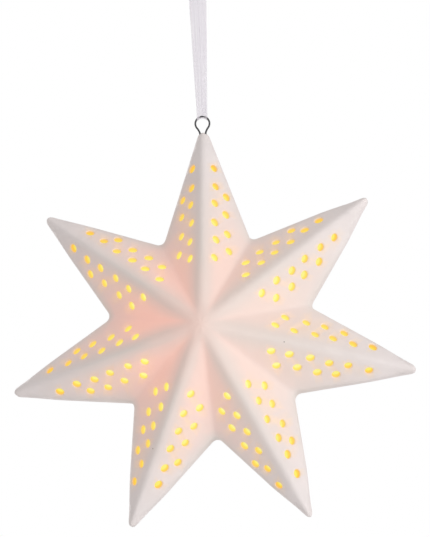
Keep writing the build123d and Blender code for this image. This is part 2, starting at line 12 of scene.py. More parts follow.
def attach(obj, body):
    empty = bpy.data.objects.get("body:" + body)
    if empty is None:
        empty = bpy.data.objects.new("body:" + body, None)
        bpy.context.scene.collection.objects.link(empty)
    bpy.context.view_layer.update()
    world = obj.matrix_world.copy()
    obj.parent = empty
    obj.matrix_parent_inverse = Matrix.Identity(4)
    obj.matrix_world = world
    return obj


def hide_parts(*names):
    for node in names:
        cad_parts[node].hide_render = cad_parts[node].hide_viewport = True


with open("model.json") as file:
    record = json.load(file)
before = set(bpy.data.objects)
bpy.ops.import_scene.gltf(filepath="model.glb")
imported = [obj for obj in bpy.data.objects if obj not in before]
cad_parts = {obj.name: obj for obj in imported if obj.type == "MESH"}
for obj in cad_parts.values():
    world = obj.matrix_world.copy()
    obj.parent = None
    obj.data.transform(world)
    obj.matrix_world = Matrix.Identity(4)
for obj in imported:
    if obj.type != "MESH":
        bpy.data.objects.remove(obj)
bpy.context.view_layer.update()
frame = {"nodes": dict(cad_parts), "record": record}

# Studio: the star hangs in front of plain white, lit by a large soft lamp on the right, a second one behind
# it and an even white surround. It is seen through a long lens, a little from the right and from below.
scene = bpy.context.scene
scene.view_settings.view_transform = "Standard"

BACK_MOUNT_RISE = 0.032
mounts = {mount["name"]: mount for mount in frame["record"]["mounts"]}
out_of_back = Vector(mounts["back_face"]["axis"])
star_up = Vector((1, 0, 0)).cross(out_of_back)
star_frame = Matrix((Vector((1, 0, 0)), star_up, -out_of_back)).transposed().to_4x4()
star_frame.translation = Vector(mounts["back_face"]["pos_m"]) - BACK_MOUNT_RISE * star_up

PHOTO_SIZE = (430, 537)
PHOTO_PIXELS_PER_METRE = 2674.7
LOOK_DEPTH = 0.012
LOOK_PIXEL = (209.35, 332.7)
VIEW_DISTANCE = 1.6
VIEW_AZIMUTH = math.radians(6.6)
VIEW_ELEVATION = math.radians(-11.28)
VIEW_ROLL = math.radians(-2.18)

look = star_frame @ Vector((0, 0, LOOK_DEPTH))
to_camera = Vector((
    math.sin(VIEW_AZIMUTH) * math.cos(VIEW_ELEVATION),
    -math.cos(VIEW_AZIMUTH) * math.cos(VIEW_ELEVATION),
    math.sin(VIEW_ELEVATION),
))
level = Vector((0, 0, 1)).cross(to_camera).normalized()
upright = to_camera.cross(level)
photo_right = level * math.cos(VIEW_ROLL) + upright * math.sin(VIEW_ROLL)
photo_up = upright * math.cos(VIEW_ROLL) - level * math.sin(VIEW_ROLL)
aim = (
    look
    + photo_right * (PHOTO_SIZE[0] / 2 - LOOK_PIXEL[0]) / PHOTO_PIXELS_PER_METRE
    + photo_up * (LOOK_PIXEL[1] - PHOTO_SIZE[1] / 2) / PHOTO_PIXELS_PER_METRE
)
camera = bpy.data.objects.new("camera", bpy.data.cameras.new("camera"))
scene.collection.objects.link(camera)
scene.camera = camera
eye_point = look + to_camera * VIEW_DISTANCE
backward = (eye_point - aim).normalized()
sideways = photo_up.cross(backward).normalized()
camera.matrix_world = Matrix((sideways, backward.cross(sideways), backward)).transposed().to_4x4()
camera.location = eye_point
camera.data.lens = camera.data.sensor_width * PHOTO_PIXELS_PER_METRE * VIEW_DISTANCE / PHOTO_SIZE[1]


def add_softbox(name, direction, distance, size, power):
    lamp = bpy.data.objects.new(name, bpy.data.lights.new(name, "AREA"))
    scene.collection.objects.link(lamp)
    lamp.data.shape = "DISK"
    lamp.data.size = size
    lamp.data.energy = power
    lamp.location = look + Vector(direction).normalized() * distance
    lamp.rotation_euler = Vector(direction).to_track_quat("Z", "Y").to_euler()


add_softbox("right_softbox", direction=(1.0, -0.75, -0.12), distance=1.3, size=0.9, power=6.6)
add_softbox("back_softbox", direction=(-0.5, 1.0, 0.3), distance=1.4, size=1.0, power=8.5)


def feed(tree, node, sockets):
    """Gives each named socket of a shader node a link from another node, or a plain value."""
    for label, value in sockets.items():
        if isinstance(value, bpy.types.NodeSocket):
            tree.links.new(value, node.inputs[label])
        else:
            node.inputs[label].default_value = value


def add_node(tree, kind, sockets, **settings):
    """A new shader node with its settings made and its sockets fed."""
    node = tree.nodes.new(kind)
    for label, value in settings.items():
        setattr(node, label, value)
    feed(tree, node, sockets)
    return node


def mix_shaders(tree, share, first, second):
    return add_node(tree, "ShaderNodeMixShader", {"Fac": share, 1: first.outputs[0], 2: second.outputs[0]})


def seen_directly(tree):
    """1 for rays that show the white ground: to the camera, in gloss or through something clear."""
    ray = tree.nodes.new("ShaderNodeLightPath")
    seen = ray.outputs["Is Camera Ray"]
    for kind in ("Is Glossy Ray", "Is Transmission Ray"):
        either = add_node(tree, "ShaderNodeMath", {0: seen, 1: ray.outputs[kind]}, operation="MAXIMUM")
        seen = either.outputs[0]
    return seen


SURROUND_COLOUR = (1.0, 0.985, 0.98, 1)
SURROUND_LIGHT = 0.62
WHITE = (1, 1, 1, 1)
scene.world = bpy.data.worlds.new("white_studio")
scene.world.use_nodes = True
tree = scene.world.node_tree
surround = tree.nodes["Background"]
feed(tree, surround, {"Color": SURROUND_COLOUR, "Strength": SURROUND_LIGHT})
white_ground = add_node(tree, "ShaderNodeBackground", {"Color": WHITE})
shown_world = mix_shaders(tree, seen_directly(tree), surround, white_ground)
feed(tree, tree.nodes["World Output"], {"Surface": shown_world.outputs[0]})

# Floor: a wide painted sheet far below the star. It is nearly white where it is seen directly, so that it
# meets the white surround without a line, and it can't be seen from below.
FLOOR_DROP = 0.62
FLOOR_REACH = 3.0
FLOOR_GREY = (0.8, 0.8, 0.8, 1)
FLOOR_WHITE = 0.97
floor_corners = [(-1, -1), (1, -1), (1, 1), (-1, 1)]
floor_points = [(x * FLOOR_REACH, y * FLOOR_REACH, -FLOOR_DROP) for x, y in floor_corners]
floor_mesh = bpy.data.meshes.new("floor")
floor_mesh.from_pydata(floor_points, [], [range(len(floor_points))])
floor = bpy.data.objects.new("floor", floor_mesh)
scene.collection.objects.link(floor)


def new_material(name):
    material = bpy.data.materials.new(name)
    material.use_nodes = True
    return material, material.node_tree, material.node_tree.nodes["Principled BSDF"]


floor_paint, tree, painted = new_material("floor_paint")
feed(tree, painted, {"Base Color": FLOOR_GREY, "Roughness": 0.9})
paper_white = add_node(tree, "ShaderNodeEmission", {"Color": WHITE})
whitened = add_node(tree, "ShaderNodeMath", {0: seen_directly(tree), 1: FLOOR_WHITE}, operation="MULTIPLY")
whiter = mix_shaders(tree, whitened.outputs[0], painted, paper_white)
facing = tree.nodes.new("ShaderNodeNewGeometry")
clear = tree.nodes.new("ShaderNodeBsdfTransparent")
one_sided = mix_shaders(tree, facing.outputs["Backfacing"], whiter, clear)
feed(tree, tree.nodes["Material Output"], {"Surface": one_sided.outputs[0]})
floor_mesh.materials.append(floor_paint)

# Star shell: one slip-cast piece of unglazed porcelain, 2.6 mm thick, with a pleated front of seven points.
# The mould and the sponge soften its folds, and its holes are punched by hand in the leather-hard clay.
# It is drawn in millimetres, lying on its back with the front up, and is then stood up.
POINTS = 7
TIP_CORNER = 82.5
NOTCH_CORNER = 38.0
TIP_ROUND = 2.3
NOTCH_ROUND = 2.7
APEX_HEIGHT = 40.0
TIP_EDGE = 6.5
NOTCH_EDGE = 9.0
WALL = 2.6
BACK_WALL = 3.6
RIDGE_SOFT = 2.1
TIP_SOFT = 1.2
VALLEY_SOFT = 0.9
APEX_SOFT = 1.9
RIM_SOFT = 1.0

SECTOR = math.pi / POINTS
NOTCH_ACROSS = NOTCH_CORNER * math.sin(SECTOR)
TIP_HALF_ANGLE = math.atan2(NOTCH_ACROSS, TIP_CORNER - NOTCH_CORNER * math.cos(SECTOR))
NOTCH_HALF_ANGLE = TIP_HALF_ANGLE + SECTOR
TIP_CENTRE = TIP_CORNER - TIP_ROUND / math.sin(TIP_HALF_ANGLE)
TIP_END = TIP_CENTRE + TIP_ROUND
NOTCH_CENTRE = NOTCH_CORNER + NOTCH_ROUND / math.sin(NOTCH_HALF_ANGLE)
RIDGE_SLOPE = (APEX_HEIGHT - TIP_EDGE) / TIP_END
VALLEY_SLOPE = (APEX_HEIGHT - NOTCH_EDGE) / NOTCH_CORNER
SIDE_SLOPE = (VALLEY_SLOPE - RIDGE_SLOPE * math.cos(SECTOR)) / math.sin(SECTOR)
VALLEY_FOLD = SIDE_SLOPE * math.cos(SECTOR) - RIDGE_SLOPE * math.sin(SECTOR)
FACE_STRETCH = math.sqrt(1 + RIDGE_SLOPE**2 + SIDE_SLOPE**2)
PEAK_DROP = SIDE_SLOPE * RIDGE_SOFT - VALLEY_FOLD * VALLEY_SOFT


def fold_places(x, y):
    """How far along and off the nearest ridge a plan point lies, and along and off the nearest valley."""
    reach = np.hypot(x, y)
    from_ridge = np.abs((np.arctan2(y, x) - math.pi / 2 + SECTOR) % (2 * SECTOR) - SECTOR)
    from_valley = SECTOR - from_ridge
    return (
        reach * np.cos(from_ridge),
        reach * np.sin(from_ridge),
        reach * np.cos(from_valley),
        reach * np.sin(from_valley),
    )


def rim_gap(x, y):
    """Distance in plan from the rounded outline, inwards."""
    along, off, valley_along, valley_off = fold_places(x, y)
    gap = (TIP_CORNER - along) * math.sin(TIP_HALF_ANGLE) - off * math.cos(TIP_HALF_ANGLE)
    at_tip = np.arctan2(off, along - TIP_CENTRE) < math.pi / 2 - TIP_HALF_ANGLE
    gap = np.where(at_tip, TIP_ROUND - np.hypot(along - TIP_CENTRE, off), gap)
    at_notch = np.arctan2(valley_off, NOTCH_CENTRE - valley_along) < math.pi / 2 - NOTCH_HALF_ANGLE
    return np.where(at_notch, np.hypot(valley_along - NOTCH_CENTRE, valley_off) - NOTCH_ROUND, gap)


def front_height(x, y):
    """Height of the pleated front, with soft folds, a soft peak and a rounded rim."""
    along, off, valley_along, valley_off = fold_places(x, y)
    ridge_soft = RIDGE_SOFT + (TIP_SOFT - RIDGE_SOFT) * along / TIP_END
    drop = RIDGE_SLOPE * along + SIDE_SLOPE * np.sqrt(off**2 + ridge_soft**2)
    drop -= VALLEY_FOLD * (np.sqrt(valley_off**2 + VALLEY_SOFT**2) - valley_off)
    drop -= PEAK_DROP
    gap = np.clip(rim_gap(x, y), 0, RIM_SOFT)
    rim_drop = RIM_SOFT - np.sqrt(RIM_SOFT**2 - (RIM_SOFT - gap) ** 2)
    return APEX_HEIGHT - PEAK_DROP - np.sqrt(drop**2 + APEX_SOFT**2) - rim_drop


ARC_POINTS = 9
EDGE_POINTS = 12


def star_row(inset, tip_round, notch_round):
    """Plan points of the outline moved in by inset, as many in every row, so that rows can be joined."""
    tip = TIP_CORNER - (inset + tip_round) / math.sin(TIP_HALF_ANGLE)
    notch = NOTCH_CORNER - (inset - notch_round) / math.sin(NOTCH_HALF_ANGLE)
    arcs = []
    for k in range(2 * POINTS):
        way = math.pi / 2 + k * SECTOR
        if k % 2:
            turns = way + math.pi - np.linspace(-1, 1, ARC_POINTS) * (math.pi / 2 - NOTCH_HALF_ANGLE)
            reach, radius = notch, notch_round
        else:
            turns = way + np.linspace(-1, 1, ARC_POINTS) * (math.pi / 2 - TIP_HALF_ANGLE)
            reach, radius = tip, tip_round
        centre = reach * np.array((math.cos(way), math.sin(way)))
        arcs.append(centre + radius * np.stack([np.cos(turns), np.sin(turns)], axis=1))
    row = []
    for arc, following in zip(arcs, arcs[1:] + arcs[:1]):
        shares = np.linspace(0, 1, EDGE_POINTS + 2)[1:-1, None]
        row += [arc, arc[-1] + shares * (following[0] - arc[-1])]
    return np.concatenate(row)


HOLE_RADIUS = 1.55
HOLE_LIP = 0.3
HOLE_SIDES = 20
HOLE_UNEVEN = 0.05
UNEVEN_BY_FACE = 3.1
UNEVEN_BY_HOLE = 5.3
RIDGE_ROW = dict(count=6, start=25.5, first_offset=4.9, last_offset=4.5, margin=2.7)
EDGE_ROW = dict(count=4, start=28.2, first_offset=9.3, last_offset=8.2, margin=2.8)
# One stencil was laid by eye on the points, clockwise from the top one, so their rows differ a little:
# how much further out they reach at mid row, how far they lie to the left, and how far the left rows lead.
STENCIL_MIDDLE = 44.0
STENCIL_OUT = (1.5, -1.5, 0.0, 1.0, 0.0, 0.0, 0.0)
STENCIL_LEFT = (0.0, 0.5, 0.5, -0.5, 0.0, 0.5, -0.5)
STENCIL_LEAD = (0.0, 0.0, 0.0, -0.25, -0.75, -0.5, 0.5)
HAND_WANDER = 0.3
HAND_TURN = 2.4
OUTLINE_MARGIN = 2.0


def hole_row(count, start, first_offset, last_offset, margin):
    """Plan places of a row, along and off the ridge, whose last hole keeps a margin to the outline."""
    reach = last_offset + margin / math.cos(TIP_HALF_ANGLE)
    end = TIP_CORNER - reach / math.tan(TIP_HALF_ANGLE)
    return list(zip(np.linspace(start, end, count), np.linspace(first_offset, last_offset, count)))


def hole_places(face, side):
    """Plan places of one face's holes: the even rows, as the stencil lay on that point."""
    point = face // 2
    stretch = 1 + (STENCIL_OUT[point] + side * STENCIL_LEAD[point]) / STENCIL_MIDDLE
    places = np.array(hole_row(**RIDGE_ROW) + hole_row(**EDGE_ROW))
    turns = HAND_TURN * (face * len(places) + np.arange(len(places)))
    along = places[:, 0] * stretch + HAND_WANDER * np.cos(turns)
    off = places[:, 1] + side * STENCIL_LEFT[point] + HAND_WANDER * np.sin(turns)
    widest = (TIP_CORNER - along) * math.tan(TIP_HALF_ANGLE) - OUTLINE_MARGIN / math.cos(TIP_HALF_ANGLE)
    return list(zip(along, np.minimum(off, widest)))


def hole_rings(radius, depth):
    """A ring of points in each hole, at a radius from its axis and a depth below the front."""
    turns = np.arange(HOLE_SIDES) * 2 * math.pi / HOLE_SIDES
    rings = []
    for face in range(2 * POINTS):
        way = math.pi / 2 - (face // 2) * 2 * SECTOR
        side = -1 if face % 2 else 1
        ridge = np.array((math.cos(way), math.sin(way), 0))
        across = side * np.array((-math.sin(way), math.cos(way), 0))
        normal = (RIDGE_SLOPE * ridge + SIDE_SLOPE * across + (0, 0, 1)) / FACE_STRETCH
        down_ridge = ridge - (0, 0, RIDGE_SLOPE)
        down_ridge /= np.linalg.norm(down_ridge)
        down_side = np.cross(normal, down_ridge)
        for k, (along, off) in enumerate(hole_places(face, side)):
            uneven = HOLE_UNEVEN * math.sin(UNEVEN_BY_FACE * face + UNEVEN_BY_HOLE * k)
            circle = np.outer(np.cos(turns), down_ridge) + np.outer(np.sin(turns), down_side)
            ring = along * ridge + off * across + radius * (1 + uneven) * circle
            ring[:, 2] = front_height(ring[:, 0], ring[:, 1])
            rings.append(ring - depth * normal)
    return rings


def clear_of(candidates, kept, least):
    """The candidates that lie at least so far from the kept points, in plan."""
    tree = KDTree(len(kept))
    for k, point in enumerate(kept):
        tree.insert((point[0], point[1], 0), k)
    tree.balance()
    far = [tree.find((point[0], point[1], 0))[2] >= least for point in candidates]
    return candidates[np.array(far)]


PEAK_RINGS = (1.3, 2.6, 4.0, 5.5)
RIDGE_LINES = (0, -0.7, 0.7, -1.4, 1.4, -2.2, 2.2)
VALLEY_LINES = (0, -0.5, 0.5, -1.1, 1.1)
LINES_START = 7.0
LINE_STEP = 0.8
GRID_ROW = 0.866
PEAK_APART = 0.4
LINES_APART = 0.45
GRID_APART = 0.5
RIM_APART = 0.4


def fold_lines(first_way, offsets, step):
    """Rows of points beside seven folds, which keep the mesh in line with them."""
    along = np.arange(LINES_START, TIP_END, step)
    lines = []
    for k in range(POINTS):
        way = first_way + k * 2 * SECTOR
        for off in offsets:
            lines.append(np.stack([
                along * math.cos(way) - off * math.sin(way),
                along * math.sin(way) + off * math.cos(way),
            ], axis=1))
    return np.concatenate(lines)


def fill_points(kept, inset, step):
    """Points for the faces between the rows and rings in kept: at the peak, along the folds, on a grid."""
    turns = np.arange(4 * POINTS) * SECTOR / 2 + math.pi / 2
    circle = np.stack([np.cos(turns), np.sin(turns)], axis=1)
    span = np.arange(-TIP_END, TIP_END, step)
    grid_x, grid_y = np.meshgrid(span, np.arange(-TIP_END, TIP_END, GRID_ROW * step))
    grid_x[1::2] += step / 2
    groups = [
        (np.concatenate([np.zeros((1, 2)), *(reach * circle for reach in PEAK_RINGS)]), PEAK_APART),
        (fold_lines(math.pi / 2, RIDGE_LINES, LINE_STEP * step), LINES_APART),
        (fold_lines(math.pi / 2 + SECTOR, VALLEY_LINES, LINE_STEP * step), LINES_APART),
        (np.stack([grid_x.ravel(), grid_y.ravel()], axis=1), GRID_APART * step),
    ]
    for group, least in groups:
        group = group[rim_gap(group[:, 0], group[:, 1]) > inset + RIM_APART]
        kept = np.concatenate([kept, clear_of(group, kept, least)])
    return kept


SAME_POINT = 1e-7
shell_points, shell_faces, shell_depths = [], [], []


def add_row(plan, height, depth):
    """Adds points at a height, with their depth in the wall: 0 outside, 1 inside. Returns their indices."""
    first = len(shell_points)
    heights = np.broadcast_to(height, len(plan))
    shell_points.extend((point[0], point[1], z) for point, z in zip(plan, heights))
    shell_depths.extend([depth] * len(plan))
    return list(range(first, len(shell_points)))


def join_rows(rows):
    for row, following in zip(rows, rows[1:]):
        for k in range(len(row)):
            after = (k + 1) % len(row)
            shell_faces.append((row[k], row[after], following[after], following[k]))


def add_skin(border, rings, fill, height, depth):
    """Triangles over a border, open at the rings. Returns the indices of the border and of each ring."""
    loops = [border, *rings]
    plan = np.concatenate([*loops, fill])
    starts = np.cumsum([0] + [len(loop) for loop in loops])
    spans = [list(range(a, b)) for a, b in zip(starts, starts[1:])]
    made = delaunay_2d_cdt([Vector(point) for point in plan], [], spans, 1, SAME_POINT)
    corners, _, triangles, _, _, within = made
    assert len(corners) == len(plan)
    row = add_row(plan, height(plan[:, 0], plan[:, 1]), depth)
    for triangle, where in zip(triangles, within):
        if where == [0]:
            shell_faces.append([row[k] for k in triangle])
    return [[row[k] for k in span] for span in spans]


def outer_row(inset):
    return star_row(inset, TIP_ROUND - inset, NOTCH_ROUND + inset)


FRONT_STEP = 2.6
RIM_ROWS = (0.08, 0.25, 0.5, 0.75, 1.0)
LIP_APART = 0.25
RIM_LEAST = 0.05
outline = outer_row(0)
lips = [ring[:, :2] for ring in hole_rings(HOLE_RADIUS + HOLE_LIP, 0)]
beside_lips = np.concatenate([ring[:, :2] for ring in hole_rings(HOLE_RADIUS + 2 * HOLE_LIP, 0)])
edge_points = np.concatenate([outline, *lips])
rim_rows = np.concatenate([outer_row(share * RIM_SOFT) for share in RIM_ROWS])
in_front = clear_of(rim_rows, np.concatenate(lips), LIP_APART)
beside_lips = clear_of(beside_lips, np.concatenate([in_front, edge_points]), LIP_APART)
in_front = np.concatenate([in_front, beside_lips])
in_front = in_front[rim_gap(in_front[:, 0], in_front[:, 1]) > RIM_LEAST]
fill = fill_points(np.concatenate([edge_points, in_front]), RIM_SOFT, FRONT_STEP)[len(edge_points):]
front_border, *front_lips = add_skin(outline, lips, fill, front_height, 0.0)

INNER_INSET = 1.6
INNER_TIP_ROUND = 5.5
INNER_STEP = 4.5
MOUTH_FLARE = 0.2


def inner_height(x, y):
    return front_height(x, y) - WALL * FACE_STRETCH


inner_outline = star_row(INNER_INSET, INNER_TIP_ROUND, NOTCH_ROUND + INNER_INSET)
mouths = [ring[:, :2] for ring in hole_rings(HOLE_RADIUS + MOUTH_FLARE, WALL)]
inner_edges = np.concatenate([inner_outline, *mouths])
fill = fill_points(inner_edges, INNER_INSET + INNER_TIP_ROUND / 2, INNER_STEP)[len(inner_edges):]
inner_border, *inner_mouths = add_skin(inner_outline, mouths, fill, inner_height, 1.0)

# The rings of a hole's wall: how much wider they are, how far below the front, and their depth in the wall.
HOLE_WALL = ((0.1, 0.08, 0.0), (0.0, 0.3, 0.12), (0.0, 0.5 * WALL, 0.5), (0.0, WALL - 0.25, 0.9))
wall_rings = [(hole_rings(HOLE_RADIUS + wider, below), depth) for wider, below, depth in HOLE_WALL]
for k, (lip, mouth) in enumerate(zip(front_lips, inner_mouths)):
    rows = [add_row(rings[k], rings[k][:, 2], depth) for rings, depth in wall_rings]
    join_rows([lip, *rows, mouth])

LAMP_BORE = 19.0
LAMP_REBATE = 22.0
REBATE_DEPTH = 2.4
COLLAR_OUTSIDE = 24.6
COLLAR_DEPTH = 9.4
BACK_LAND = 2.5
BACK_ROUND = 1.0
ROUND_ROWS = (0.0, 0.12, 0.3, 0.55, 1.0)
EASED = 0.35
around = np.arctan2(outline[:, 1], outline[:, 0])


def circle_row(radius, height, depth=0.0):
    return add_row(radius * np.stack([np.cos(around), np.sin(around)], axis=1), height, depth)


back_rows = [front_border]
for share in ROUND_ROWS:
    height = BACK_ROUND * (1 - math.sqrt(1 - (1 - share) ** 2))
    back_rows.append(add_row(outer_row(share * BACK_ROUND), height, 0.0))
back_rows += [
    circle_row(LAMP_REBATE + BACK_LAND, 0),
    circle_row(LAMP_REBATE + EASED, 0),
    circle_row(LAMP_REBATE, EASED),
    circle_row(LAMP_REBATE, REBATE_DEPTH),
    circle_row(LAMP_BORE + EASED, REBATE_DEPTH),
    circle_row(LAMP_BORE, REBATE_DEPTH + EASED),
    circle_row(LAMP_BORE, COLLAR_DEPTH - EASED),
    circle_row(LAMP_BORE + EASED, COLLAR_DEPTH, 1.0),
    circle_row(COLLAR_OUTSIDE - EASED, COLLAR_DEPTH, 1.0),
    circle_row(COLLAR_OUTSIDE, COLLAR_DEPTH - EASED, 1.0),
    circle_row(COLLAR_OUTSIDE, BACK_WALL, 1.0),
    add_row(inner_outline, BACK_WALL, 1.0),
    inner_border,
]
join_rows(back_rows)

SEEP_REACH = (0, 14, 26, 36, 72)
SEEP_LIGHT = (2.0, 0.95, 0.85, 0.48, 0)
SEEP_MEAN = 0.65
SEEP_LEFT = 0.35
SIDE_FADE_REACH = 6.0
RIDGE_SHADE = 6.0
RIDGE_GLOW = 0.31
RIDGE_GLOW_END = 29.0
RIDGE_GLOW_FADE = 10.0
RIM_SHADE = 2.5
HOLE_LAMPLIGHT_REACH = 2.25


def seep(x, y):
    """Painted lamp glow through the clay: least on folds and rim, most in valleys and on the shaded left."""
    reach = np.hypot(x, y)
    off = fold_places(x, y)[1]
    on_ridge = RIDGE_GLOW * np.clip((RIDGE_GLOW_END - reach) / RIDGE_GLOW_FADE, 0, 1)
    past_ridge = np.maximum(np.clip(off / RIDGE_SHADE, 0, 1), on_ridge)
    past_rim = np.clip(rim_gap(x, y) / RIM_SHADE, 0, 1)
    # Painted: the glow is stronger on the left half, whose faces lie in shade, than on the lit right half.
    left_glow_share = SEEP_MEAN - SEEP_LEFT * x / np.hypot(reach, SIDE_FADE_REACH)
    return past_ridge * past_rim * left_glow_share * np.interp(reach, SEEP_REACH, SEEP_LIGHT)


# The share of its width that each tip loses at its end, where it is drawn in by hand, clockwise from the top
# one. That one keeps its clay for the wire's legs.
PINCH = (0.0, 0.4, 0.25, 0.4, 0.35, 0.25, 0.2)
PINCH_START = 60.0


def drawn_in(points):
    """The shell's points with its tips drawn in to finer ends."""
    x, y, z = np.array(points).T
    point = np.round((math.pi / 2 - np.arctan2(y, x)) / (2 * SECTOR)).astype(int) % POINTS
    way = math.pi / 2 - point * 2 * SECTOR
    along = x * np.cos(way) + y * np.sin(way)
    share = np.clip((along - PINCH_START) / (TIP_END - PINCH_START), 0, 1)
    off = (y * np.cos(way) - x * np.sin(way)) * (1 - np.array(PINCH)[point] * share**2)
    return np.stack([
        along * np.cos(way) - off * np.sin(way),
        along * np.sin(way) + off * np.cos(way),
        z,
    ], axis=1).tolist()


MILLIMETRES = 0.001
SHARP_FOLD = math.radians(52)
star_mesh = bpy.data.meshes.new("porcelain_star")
star_mesh.from_pydata(drawn_in(shell_points), [], shell_faces)
place_x, place_y, place_z = np.array(shell_points).T
on_front = place_z > front_height(place_x, place_y) - HOLE_LIP
seeping = on_front * seep(place_x, place_y)
hole_tree = KDTree(len(lips))
for k, ring in enumerate(hole_rings(0, 0)):
    hole_tree.insert(ring[0], k)
hole_tree.balance()
from_hole = np.array([hole_tree.find(point)[2] for point in shell_points])
# Painted lamplight round each hole, full at its edge and gone 2.25 mm from its middle.
hole_lamplight_share = on_front * np.clip((HOLE_LAMPLIGHT_REACH - from_hole) / (HOLE_LAMPLIGHT_REACH - HOLE_RADIUS), 0, 1)
# The maps carry the painted glow through the clay and the depth in the wall, and the painted lamplight round
# the holes.
light_map = star_mesh.uv_layers.new(name="wall_light")
hole_lamplight_map = star_mesh.uv_layers.new(name="hole_spill")
for loop in star_mesh.loops:
    k = loop.vertex_index
    light_map.data[loop.index].uv = (seeping[k], shell_depths[k])
    hole_lamplight_map.data[loop.index].uv = (hole_lamplight_share[k], 0)
# Faces within the wall take the lit clay, with its painted shade and painted lamplight.
for polygon in star_mesh.polygons:
    polygon.material_index = int(min(shell_depths[k] for k in polygon.vertices) > 0)
star_mesh.transform(star_frame @ Matrix.Scale(MILLIMETRES, 4))
shell = bmesh.new()
shell.from_mesh(star_mesh)
bmesh.ops.delete(shell, geom=[v for v in shell.verts if not v.link_faces], context="VERTS")
bmesh.ops.recalc_face_normals(shell, faces=shell.faces)
shell.to_mesh(star_mesh)
shell.free()
star_mesh.shade_smooth()
star_mesh.set_sharp_from_angle(angle=SHARP_FOLD)
porcelain_star = bpy.data.objects.new("porcelain_star", star_mesh)
scene.collection.objects.link(porcelain_star)
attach(porcelain_star, "star")
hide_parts("star_shell")


def new_group(name, inputs, outputs):
    """A shader node group with number inputs, given with their values, and number outputs."""
    group = bpy.data.node_groups.new(name, "ShaderNodeTree")
    for label, value in inputs.items():
        made = group.interface.new_socket(label, in_out="INPUT", socket_type="NodeSocketFloat")
        made.default_value = value
    for label in outputs:
        group.interface.new_socket(label, in_out="OUTPUT", socket_type="NodeSocketFloat")
    return group, group.nodes.new("NodeGroupInput").outputs, group.nodes.new("NodeGroupOutput")


def place_group(tree, group, **values):
    """The outputs of a group placed in a material with its own values."""
    return add_node(tree, "ShaderNodeGroup", values, node_tree=group).outputs


def object_place(tree):
    return tree.nodes.new("ShaderNodeTexCoord").outputs["Object"]


def noise(tree, vector, **sockets):
    return add_node(tree, "ShaderNodeTexNoise", {"Vector": vector, **sockets}).outputs["Fac"]


def share_of(tree, value, start, end):
    """A share that goes from 0 to 1 as a value goes from start to end."""
    sockets = {"Value": value, "From Min": start, "From Max": end}
    return add_node(tree, "ShaderNodeMapRange", sockets).outputs["Result"]


def map_parts(tree, name):
    """The two numbers of a map on the mesh, as X and Y."""
    drawn = add_node(tree, "ShaderNodeUVMap", {}, uv_map=name)
    return add_node(tree, "ShaderNodeSeparateXYZ", {"Vector": drawn.outputs["UV"]}).outputs


def ramp(tree, value, stops):
    """The colour at a value, from stops given as (place, colour)."""
    made = add_node(tree, "ShaderNodeValToRGB", {"Fac": value})
    elements = made.color_ramp.elements
    while len(elements) < len(stops):
        elements.new(0.5)
    for element, (place, colour) in zip(elements, stops):
        element.position = place
        element.color = (*colour, 1)
    return made.outputs["Color"]


NOISE_LOW = 0.3
NOISE_HIGH = 0.7


def blend(tree, value, dark, light):
    """From one colour to another over the middle of a noise."""
    return ramp(tree, value, [(NOISE_LOW, dark), (NOISE_HIGH, light)])


def polish(tree, value, least, most):
    """From one roughness to another over the middle of a noise."""
    return blend(tree, value, (least,) * 3, (most,) * 3)


def mix_colours(tree, share, first, second, way="MIX"):
    sockets = {"Factor": share, "A": first, "B": second}
    return add_node(tree, "ShaderNodeMix", sockets, data_type="RGBA", blend_type=way).outputs["Result"]


def relief(tree, height, strength, distance, **more):
    sockets = {"Height": height, "Strength": strength, "Distance": distance, **more}
    return add_node(tree, "ShaderNodeBump", sockets).outputs["Normal"]


SPECK_EDGE = 0.022
SPECK_CORE = 0.012
bisque_grain, grain_in, grain_out = new_group(
    "bisque_grain", {"Grain per metre": 2600.0, "Specks per metre": 55.0}, ["Height", "Cloud", "Speck"]
)
place = object_place(bisque_grain)
grit = noise(bisque_grain, place, Scale=grain_in["Grain per metre"], Detail=5.0, Roughness=0.65)
clouds = noise(bisque_grain, place, Scale=70.0, Detail=3.0)
cells = add_node(bisque_grain, "ShaderNodeTexVoronoi", {
    "Vector": place,
    "Scale": grain_in["Specks per metre"],
})
specks = share_of(bisque_grain, cells.outputs["Distance"], SPECK_EDGE, SPECK_CORE)
feed(bisque_grain, grain_out, {"Height": grit, "Cloud": clouds, "Speck": specks})

LIGHT_HEIGHT = 18.8
light_point = star_frame @ Vector((0, 0, LIGHT_HEIGHT * MILLIMETRES))
lamp_reach, reach_in, reach_out = new_group("lamp_reach", {"Start": 0.0, "End": 0.07}, ["Share"])
from_light = add_node(
    lamp_reach, "ShaderNodeVectorMath", {0: object_place(lamp_reach), 1: light_point}, operation="DISTANCE"
)
reached = share_of(lamp_reach, from_light.outputs["Value"], reach_in["Start"], reach_in["End"])
feed(lamp_reach, reach_out, {"Share": reached})

BLACK = (0.0, 0.0, 0.0)
BISQUE_DARK = (0.83, 0.765, 0.75)
BISQUE_LIGHT = (0.89, 0.82, 0.805)
BISQUE_LAMPLIT_TINT = (0.85, 0.757, 0.70, 1)
BISQUE_HOLE_LAMPLIT_TINT = (0.87, 0.735, 0.61, 1)
SPECK_BROWN = (0.30, 0.24, 0.21, 1)
SEEP_ORANGE = (0.35, 0.046, 0.0)
HOLE_LAMPLIGHT_YELLOW = (0.10, 0.05, 0.0)
bisque, tree, clay = new_material("bisque")
grain = place_group(tree, bisque_grain)
let_through = map_parts(tree, "wall_light")["X"]
by_hole = map_parts(tree, "hole_spill")["X"]
by_lamp = place_group(tree, lamp_reach, Start=0.070, End=0.026)["Share"]
colour = blend(tree, grain["Cloud"], BISQUE_DARK, BISQUE_LIGHT)
# Painted lamplight: the clay is tinted warmer near the light.
colour = mix_colours(tree, by_lamp, colour, BISQUE_LAMPLIT_TINT)
